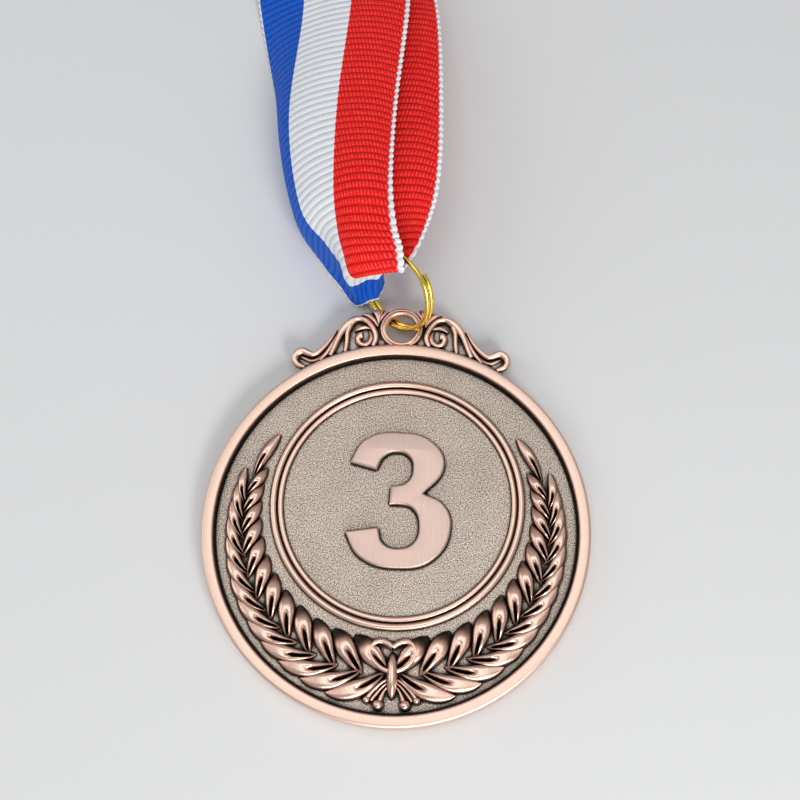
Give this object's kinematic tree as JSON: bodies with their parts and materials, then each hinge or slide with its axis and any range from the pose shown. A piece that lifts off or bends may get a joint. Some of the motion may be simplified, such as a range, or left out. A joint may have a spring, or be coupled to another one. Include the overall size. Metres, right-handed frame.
{
  "type": "award medal",
  "caption": "Round third-place medal with a laurel wreath, a raised numeral and a scrolled hanger, on a split ring and a striped neck ribbon.",
  "frame": {"origin": "centre of the disc's flat back", "axes": "+Z is the normal of the face, +Y points from the disc's centre to the hanger, +X to the right of the numeral"},
  "size_m": [0.0519, 0.173, 0.0149],
  "materials": {
    "antique_bronze": "antique copper plate, dark in the recesses and rubbed bright on the raised work",
    "gold_wire": "bright yellow plated wire",
    "ribbon_cloth": "ribbed polyester grosgrain in blue, white and red stripes with white selvedges",
    "tie_cloth": "white woven tape",
    "white_thread": "white polyester sewing thread"
  },
  "bodies": {
    "medal": {"medal_body": "antique_bronze"},
    "ring": {"split_ring": "gold_wire"},
    "ribbon": {"neck_ribbon": "ribbon_cloth", "ribbon_hank": "ribbon_cloth", "hank_tie": "tie_cloth", "seam_stitching": "white_thread"}
  },
  "joints": [
    {"name": "ring_swing", "type": "hinge", "parent": "medal", "child": "ring", "pos_m": [-0.00115, 0.0295, 0.0021], "axis": [-0.7071, -0.7071, 0], "range_deg": [-2, 90]},
    {"name": "ribbon_slide_round_ring", "type": "hinge", "parent": "ring", "child": "ribbon", "pos_m": [-0.0007, 0.03155, 0.0058], "axis": [0.63, 0.6411, -0.4384], "range_deg": [-8, 60]}
  ]
}
